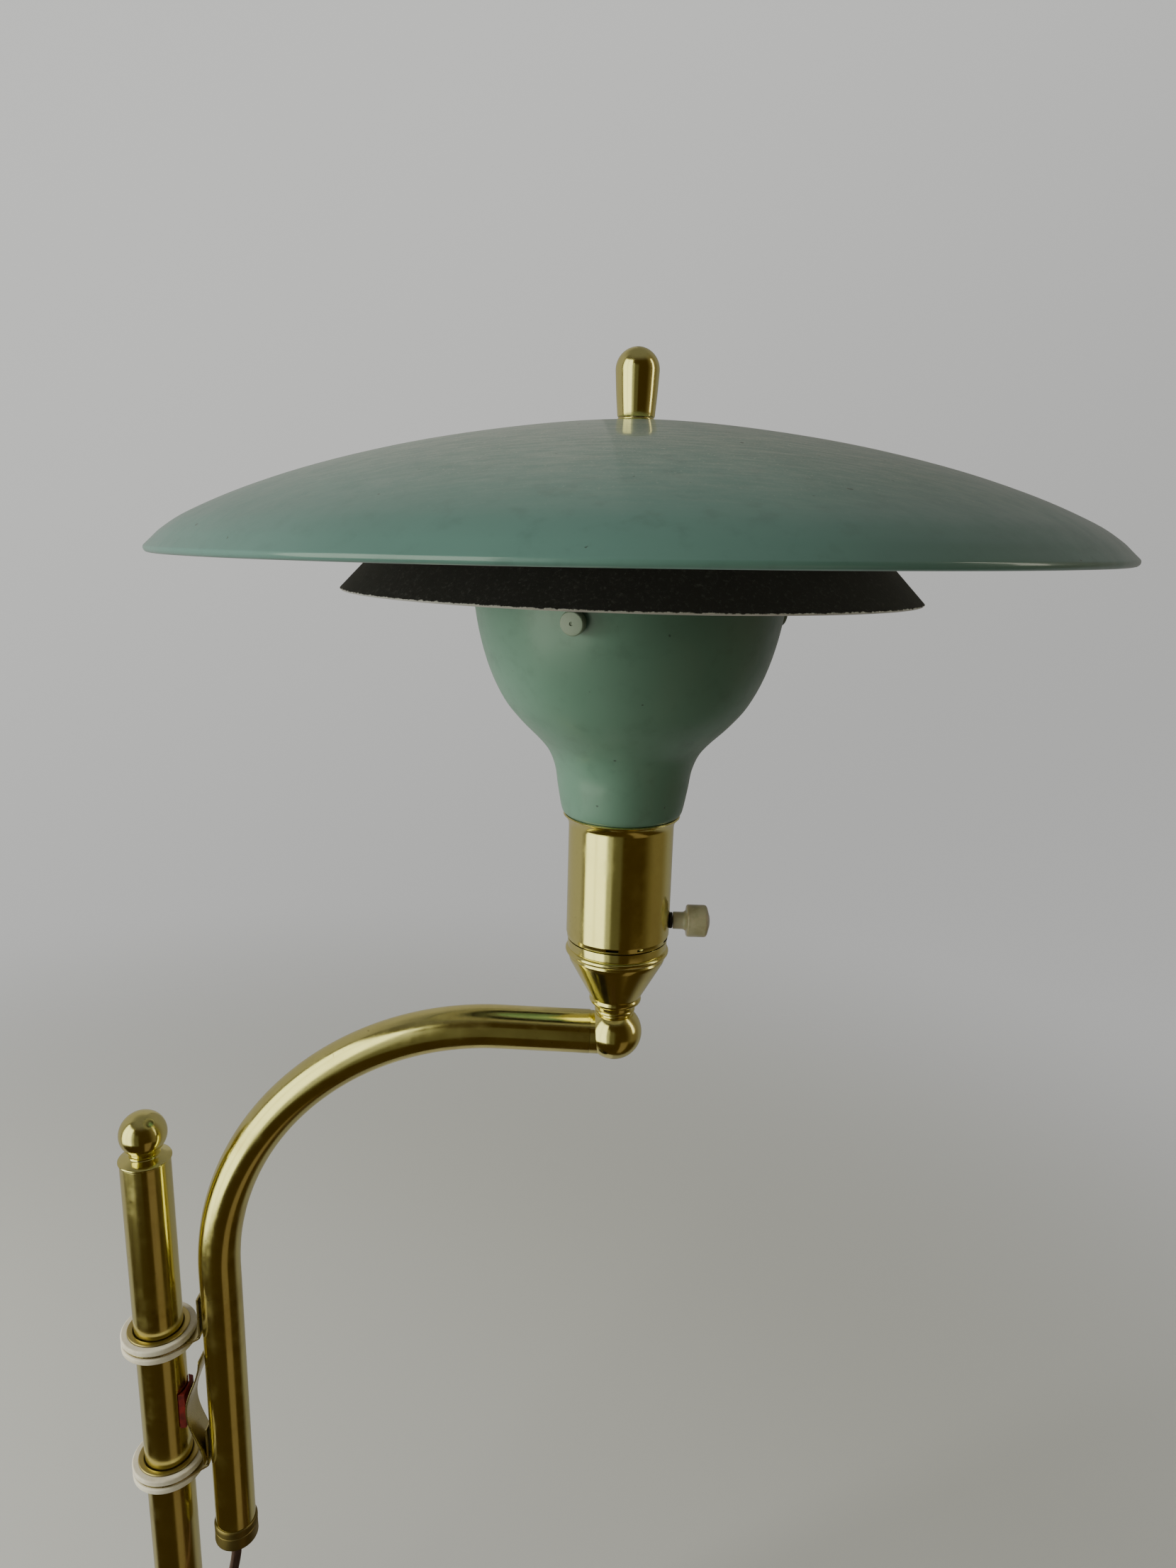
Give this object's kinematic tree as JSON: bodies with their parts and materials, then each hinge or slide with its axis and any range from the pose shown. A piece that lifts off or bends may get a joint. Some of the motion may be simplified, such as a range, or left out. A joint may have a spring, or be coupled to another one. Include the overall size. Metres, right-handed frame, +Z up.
{
  "type": "swing arm desk lamp",
  "caption": "Table lamp with a saucer shade on a bent brass arm that slides on and swings about a post on a weighted round base.",
  "frame": {"origin": "centre of the felt pad's underside, on the post's axis, at the table top", "axes": "+Z up along the post; +X from the post towards the lamp head at rest; +Y away from the viewer"},
  "size_m": [0.5046, 0.356, 0.7556],
  "materials": {
    "green_enamel": "satin",
    "polished_brass": "polished, lacquered",
    "aged_brass": "satin, fine knurl",
    "black_wrinkle": "matt wrinkle",
    "plated_steel": "zinc plated",
    "cast_iron": "rough",
    "felt": "napped",
    "cream_nylon": "matt",
    "red_fibre": "matt",
    "ivory_plastic": "slightly clouded",
    "black_phenolic": "moulded",
    "brown_phenolic": "moulded",
    "frosted_glass": "etched inside",
    "brown_flex": "extruded"
  },
  "bodies": {
    "stand": {"base_shell": "green_enamel", "base_weight": "cast_iron", "base_felt": "felt", "base_collar": "polished_brass", "post_tube": "polished_brass", "tie_rod": "plated_steel", "rod_washer": "plated_steel", "rod_nut": "plated_steel", "post_flange": "polished_brass", "post_ball": "polished_brass", "cord_run": "brown_flex", "cord_tail": "brown_flex", "cord_coil": "brown_flex", "plug_body": "brown_phenolic", "plug_blade_0": "polished_brass", "plug_blade_1": "polished_brass"},
    "guide": {"upper_eyelet": "polished_brass", "lower_eyelet": "polished_brass"},
    "arm": {"arm_end_cap": "aged_brass", "arm_tube": "polished_brass", "baffle_bracket_0": "plated_steel", "baffle_bracket_1": "plated_steel", "baffle_bracket_2": "plated_steel", "baffle_ring": "black_wrinkle", "ball_fitting": "polished_brass", "bowl": "green_enamel", "bowl_screw_0": "green_enamel", "bowl_screw_1": "green_enamel", "bowl_screw_2": "green_enamel", "brake_pad": "red_fibre", "brake_spring": "polished_brass", "bulb_cap": "plated_steel", "bulb_glass": "frosted_glass", "cord_bush": "black_phenolic", "cord_drop": "brown_flex", "finial": "polished_brass", "finial_washer": "polished_brass", "knob_bush": "black_phenolic", "lower_flange": "polished_brass", "lower_washer_bottom": "cream_nylon", "lower_washer_top": "cream_nylon", "neck_ring": "polished_brass", "screw_shell": "plated_steel", "shade": "green_enamel", "shade_stud": "plated_steel", "socket_body": "black_phenolic", "socket_cup": "polished_brass", "socket_nipple": "plated_steel", "socket_shell": "polished_brass", "spider_hub": "plated_steel", "strut_0": "plated_steel", "strut_1": "plated_steel", "strut_2": "plated_steel", "upper_flange": "polished_brass", "upper_washer_bottom": "cream_nylon", "upper_washer_top": "cream_nylon"},
    "switch_knob": {"switch_knob": "ivory_plastic", "knob_spindle": "plated_steel"}
  },
  "joints": [
    {"name": "height_slide", "type": "slide", "parent": "stand", "child": "guide", "axis": [0, 0, 1], "range_m": [-0.1, 0.085], "deforming": ["cord_run", "cord_drop"]},
    {"name": "arm_swing", "type": "hinge", "parent": "guide", "child": "arm", "pos_m": [0, 0, 0.2732], "axis": [0, 0, 1], "range_deg": [-120, 120], "deforming": ["cord_drop"]},
    {"name": "switch_turn", "type": "hinge", "parent": "arm", "child": "switch_knob", "pos_m": [0.212, 0, 0.5264], "axis": [1, 0, 0], "continuous": true}
  ]
}
